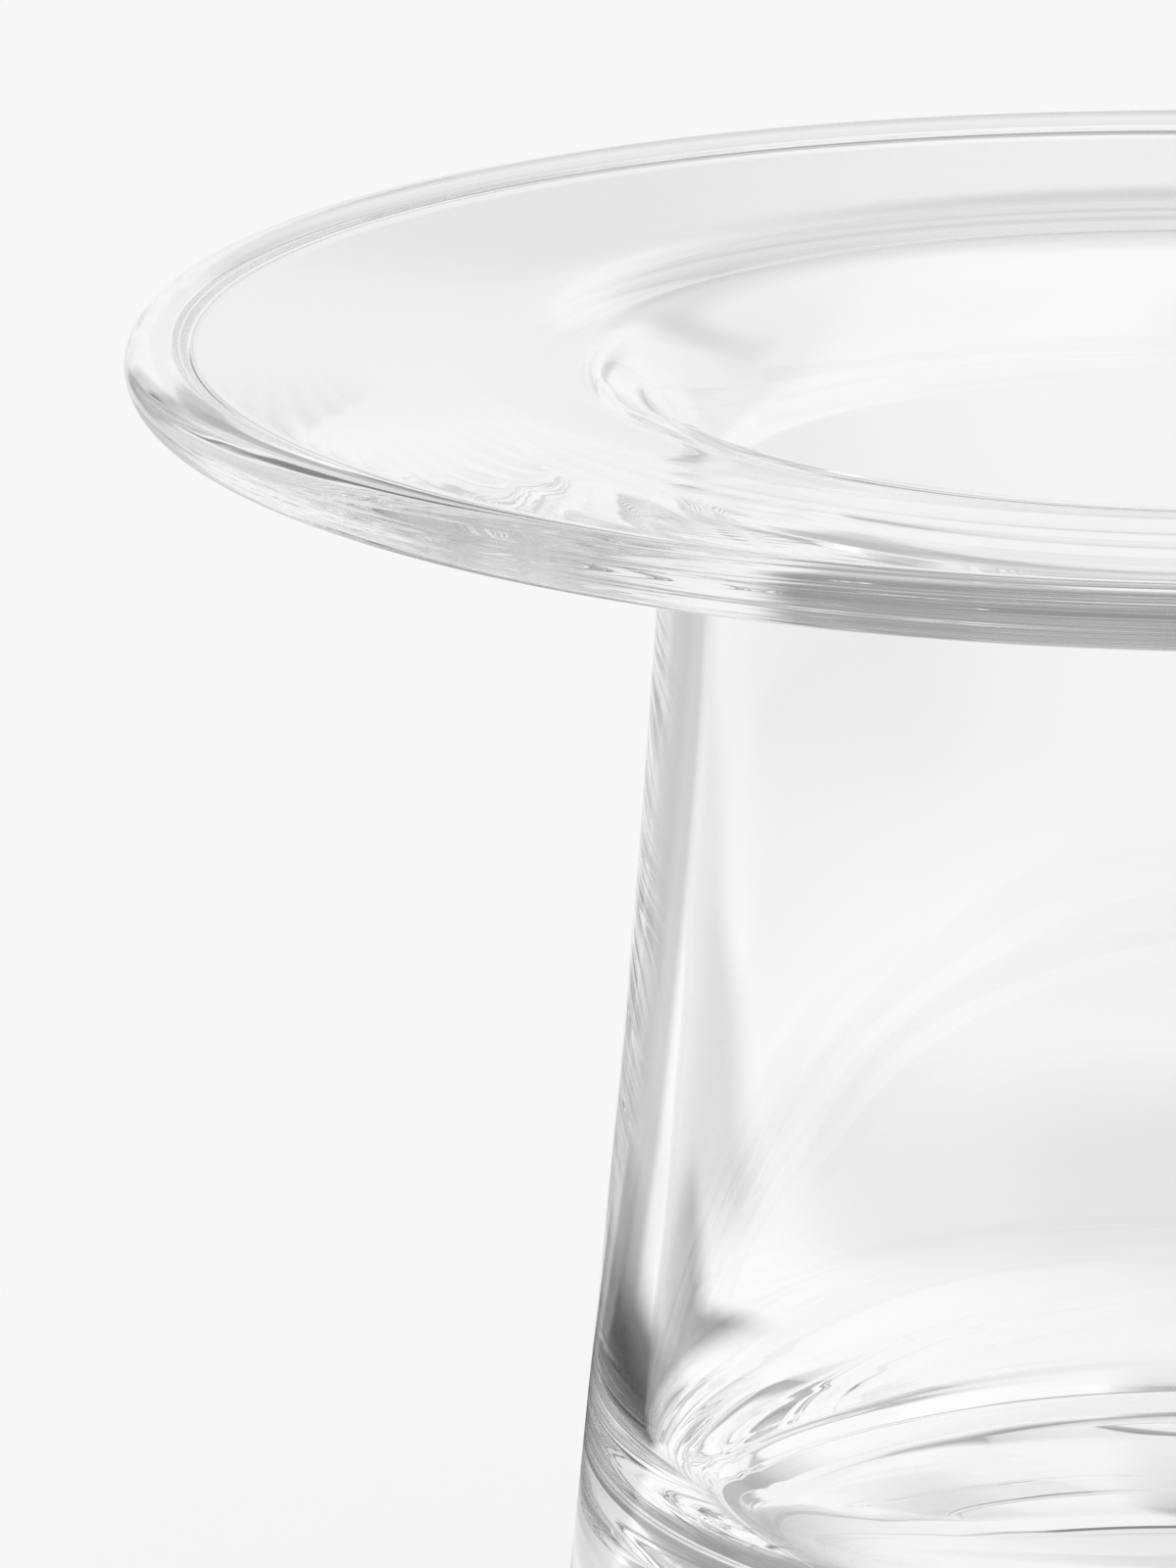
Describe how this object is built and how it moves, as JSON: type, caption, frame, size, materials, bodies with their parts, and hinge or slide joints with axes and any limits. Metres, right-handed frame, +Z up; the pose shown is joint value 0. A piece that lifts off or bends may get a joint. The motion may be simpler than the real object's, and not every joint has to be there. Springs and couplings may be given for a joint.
{
  "type": "flared glass vase",
  "caption": "Free-standing clear glass vase with a solid base, a wall that narrows upwards and a wide flat brim ending in a rounded lip.",
  "frame": {"origin": "centre of the underside, on the table", "axes": "+Z up along the axis of the vase, out of its mouth; X and Y are any two directions across it"},
  "size_m": [0.25, 0.25, 0.166],
  "materials": {
    "clear_glass": "fire-polished, clear and colourless"
  },
  "bodies": {
    "root": {"thick_base": "clear_glass", "tapered_wall": "clear_glass", "flared_brim": "clear_glass", "rounded_lip": "clear_glass"}
  },
  "joints": []
}
